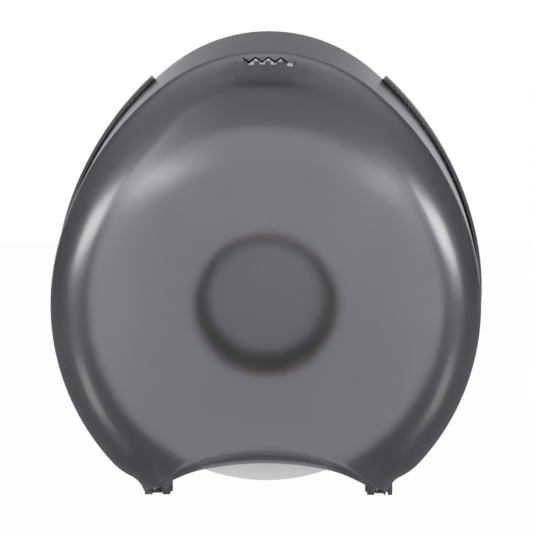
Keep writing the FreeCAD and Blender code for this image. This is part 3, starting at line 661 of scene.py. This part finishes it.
def paintInsideLight(material):
    # Painted light: the panel's front face within the cover's outline is drawn lighter grey, standing in for
    # light that reaches the inside through the cover
    tree = material.node_tree
    within = remap(tree, fromAxis(tree), 1, 0, *paintedInsideLight["reach"])
    facing = remap(tree, objectAxes(tree)["Y"], 1, 0, *paintedInsideLight["faceY"])
    layColour(tree, tree.nodes["Principled BSDF"], combine(tree, "MULTIPLY", within, facing),
              paintedInsideLight["colour"])


smoke = smokeMaterial()
black = plainMaterial("blackPlastic", blackLook)
paintInsideLight(black)
acetal = plainMaterial("blackAcetal", acetalLook)
pale = plainMaterial("palePlastic", paleLook)
board = plainMaterial("coreBoard", boardLook)
tissue = plainMaterial("tissuePaper", tissueLook)
ward = plainMaterial("wardSteel", wardLook)
steel = plainMaterial("springSteel", steelLook)
steel.node_tree.nodes["Principled BSDF"].inputs["Metallic"].default_value = steelLook["metallic"]
cover.data.materials.clear()
cover.data.materials.append(smoke)

nodeFinish = {
    "base_plate": black, "catch_spring": steel, "catch_screws": steel, "hinge_pin_left": steel,
    "hinge_pin_right": steel, "spindle_post": pale, "spindle_screws": steel, "spindle_washers": steel,
    "spindle_cap": pale, "keyway_plate": ward, "keyway_screws": steel, "yoke_guide_left": acetal,
    "yoke_guide_right": acetal, "guide_screws": steel, "return_spring_left": steel,
    "return_spring_right": steel, "latch_yoke": acetal, "core_adapter": pale, "roll_core": board,
    "tissue_roll": tissue,
}
edgeForm = {"mergeBelow": 2e-6, "sharpDeg": 28}


def edgeTidy():
    # Joins the loose triangles of a carried-over node and shades all but its edges smooth
    group = bpy.data.node_groups.new("edgeTidy", "GeometryNodeTree")
    group.interface.new_socket(name="Geometry", in_out="INPUT", socket_type="NodeSocketGeometry")
    group.interface.new_socket(name="Geometry", in_out="OUTPUT", socket_type="NodeSocketGeometry")
    start = group.nodes.new("NodeGroupInput")
    end = group.nodes.new("NodeGroupOutput")
    merge = group.nodes.new("GeometryNodeMergeByDistance")
    merge.inputs["Distance"].default_value = edgeForm["mergeBelow"]
    angle = group.nodes.new("GeometryNodeInputMeshEdgeAngle")
    compare = group.nodes.new("FunctionNodeCompare")
    compare.operation = "LESS_THAN"
    compare.inputs["B"].default_value = math.radians(edgeForm["sharpDeg"])
    faces = group.nodes.new("GeometryNodeSetShadeSmooth")
    edges = group.nodes.new("GeometryNodeSetShadeSmooth")
    edges.domain = "EDGE"
    link = group.links.new
    link(start.outputs[0], merge.inputs["Geometry"])
    link(merge.outputs["Geometry"], faces.inputs["Geometry"])
    link(faces.outputs["Geometry"], edges.inputs["Geometry"])
    link(angle.outputs["Unsigned Angle"], compare.inputs["A"])
    link(compare.outputs["Result"], edges.inputs["Shade Smooth"])
    link(edges.outputs["Geometry"], end.inputs[0])
    return group


tidyGroup = edgeTidy()
for name, material in nodeFinish.items():
    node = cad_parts[name]
    node.data.materials.clear()
    node.data.materials.append(material)
    tidy = node.modifiers.new("edgeTidy", "NODES")
    tidy.node_group = tidyGroup
print("materials set on", len(nodeFinish) + 1, "pieces")


# Floor, light and camera

floorForm = {
    "z": -0.30, "size": 6.0, "cells": 4, "colour": (0.24, 0.24, 0.24), "roughness": 0.9, "show": 0.985,
}
lightForm = {
    "left": {"azimuth": -50, "elevation": 10, "distance": 1.6,
             "size": (0.85, 0.42), "power": 9.6},
    "right": {"azimuth": 50, "elevation": 9, "distance": 1.6,
              "size": (0.80, 0.42), "power": 10.4},
    "leftHigh": {"azimuth": -21, "elevation": 11.5, "distance": 1.6,
                 "size": (0.34, 0.28), "power": 1.9},
    "rightHigh": {"azimuth": 22, "elevation": 11.5, "distance": 1.6,
                  "size": (0.26, 0.24), "power": 0.9},
    "leftLow": {"azimuth": -50, "elevation": -24, "distance": 0.47,
                "size": (0.15, 0.12), "power": 0.14},
    "rightLow": {"azimuth": 50, "elevation": -24, "distance": 0.47,
                 "size": (0.15, 0.12), "power": 0.13},
}
lightTarget = Vector((0, -0.08, 0.0))
worldForm = {
    "around": 0.006, "coneFrom": 0.84, "coneTo": 0.97,
    "behindLow": 0.80, "behindHigh": 0.18, "behindFrom": 0.02, "behindTo": 0.155,
    "above": 0.72, "aboveFrom": 0.42, "aboveTo": 0.75,
    "background": 1.0, "roomColour": (0.96, 0.945, 1.0),
}
cameraForm = {
    "target": (0.00051, -0.118, 0.01974), "azimuth": 1.0, "elevation": 6.5,
    "distance": 1.8, "frameWidth": 0.3172, "sensor": 36.0, "clip": (0.05, 50),
}


def makeFloor():
    form = floorForm
    bm = bmesh.new()
    bmesh.ops.create_grid(bm, x_segments=form["cells"], y_segments=form["cells"], size=form["size"] / 2)
    bmesh.ops.translate(bm, verts=bm.verts[:], vec=(0, 0, form["z"]))
    floor = meshObject("floor", bm)
    material, tree, shader, out = newMaterial("paleFloor")
    shader.inputs["Base Color"].default_value = (*form["colour"], 1)
    shader.inputs["Roughness"].default_value = form["roughness"]
    glow = tree.nodes.new("ShaderNodeEmission")   # nearly white to the camera
    glow.inputs["Color"].default_value = (1, 1, 1, 1)
    glow.inputs["Strength"].default_value = 1.0
    path = tree.nodes.new("ShaderNodeLightPath")
    share = tree.nodes.new("ShaderNodeMath")
    share.operation = "MULTIPLY"
    share.inputs[1].default_value = form["show"]
    mix = tree.nodes.new("ShaderNodeMixShader")
    tree.links.new(path.outputs["Is Camera Ray"], share.inputs[0])
    tree.links.new(share.outputs["Value"], mix.inputs["Fac"])
    tree.links.new(shader.outputs["BSDF"], mix.inputs[1])
    tree.links.new(glow.outputs["Emission"], mix.inputs[2])
    tree.links.new(mix.outputs["Shader"], out.inputs["Surface"])
    floor.data.materials.append(material)


def makeWorld():
    # White to the camera; for the other rays dark around the object, pale behind it and overhead
    form = worldForm
    world = bpy.data.worlds.new("studio")
    bpy.context.scene.world = world
    world.use_nodes = True
    tree = world.node_tree
    tree.nodes.clear()
    out = tree.nodes.new("ShaderNodeOutputWorld")
    coords = tree.nodes.new("ShaderNodeTexCoord")
    axes = tree.nodes.new("ShaderNodeSeparateXYZ")
    tree.links.new(coords.outputs["Generated"], axes.inputs["Vector"])
    cone = remap(tree, axes.outputs["Y"], 0, 1, form["coneFrom"], form["coneTo"])
    pale = remap(tree, axes.outputs["Z"], form["behindLow"], form["behindHigh"],
                 form["behindFrom"], form["behindTo"])
    overhead = remap(tree, axes.outputs["Z"], form["around"], form["above"],
                     form["aboveFrom"], form["aboveTo"])
    room = tree.nodes.new("ShaderNodeBackground")
    room.inputs["Color"].default_value = (*form["roomColour"], 1)
    tree.links.new(combine(tree, "MULTIPLY_ADD", cone, pale, overhead), room.inputs["Strength"])
    white = tree.nodes.new("ShaderNodeBackground")
    white.inputs["Color"].default_value = (1, 1, 1, 1)
    white.inputs["Strength"].default_value = form["background"]
    path = tree.nodes.new("ShaderNodeLightPath")
    mix = tree.nodes.new("ShaderNodeMixShader")
    tree.links.new(path.outputs["Is Camera Ray"], mix.inputs["Fac"])
    tree.links.new(room.outputs["Background"], mix.inputs[1])
    tree.links.new(white.outputs["Background"], mix.inputs[2])
    tree.links.new(mix.outputs["Shader"], out.inputs["Surface"])


def towards(azimuth, elevation):
    # Direction from the object: azimuth 0 is straight out of the wall, 90 to the right
    turn, rise = math.radians(azimuth), math.radians(elevation)
    return Vector((math.sin(turn) * math.cos(rise), -math.cos(turn) * math.cos(rise), math.sin(rise)))


def makeLights():
    for name, form in lightForm.items():
        lamp = bpy.data.lights.new(name + "Softbox", "AREA")
        lamp.shape = "RECTANGLE"
        lamp.size, lamp.size_y = form["size"]
        lamp.energy = form["power"]
        holder = bpy.data.objects.new(name + "Softbox", lamp)
        holder.location = lightTarget + form["distance"] * towards(form["azimuth"], form["elevation"])
        aim = lightTarget - holder.location
        holder.rotation_euler = aim.to_track_quat("-Z", "Y").to_euler()
        bpy.context.scene.collection.objects.link(holder)


def makeCamera():
    form = cameraForm
    data = bpy.data.cameras.new("camera")
    data.sensor_width = form["sensor"]
    data.lens = form["sensor"] * form["distance"] / form["frameWidth"]
    data.clip_start, data.clip_end = form["clip"]
    camera = bpy.data.objects.new("camera", data)
    bpy.context.scene.collection.objects.link(camera)
    back = towards(form["azimuth"], form["elevation"])
    camera.location = Vector(form["target"]) + back * form["distance"]
    camera.rotation_euler = (-back).to_track_quat("-Z", "Y").to_euler()
    bpy.context.scene.camera = camera


makeFloor()
makeWorld()
makeLights()
makeCamera()
bpy.context.scene.view_settings.view_transform = "Standard"
print("stage, lights and camera set")
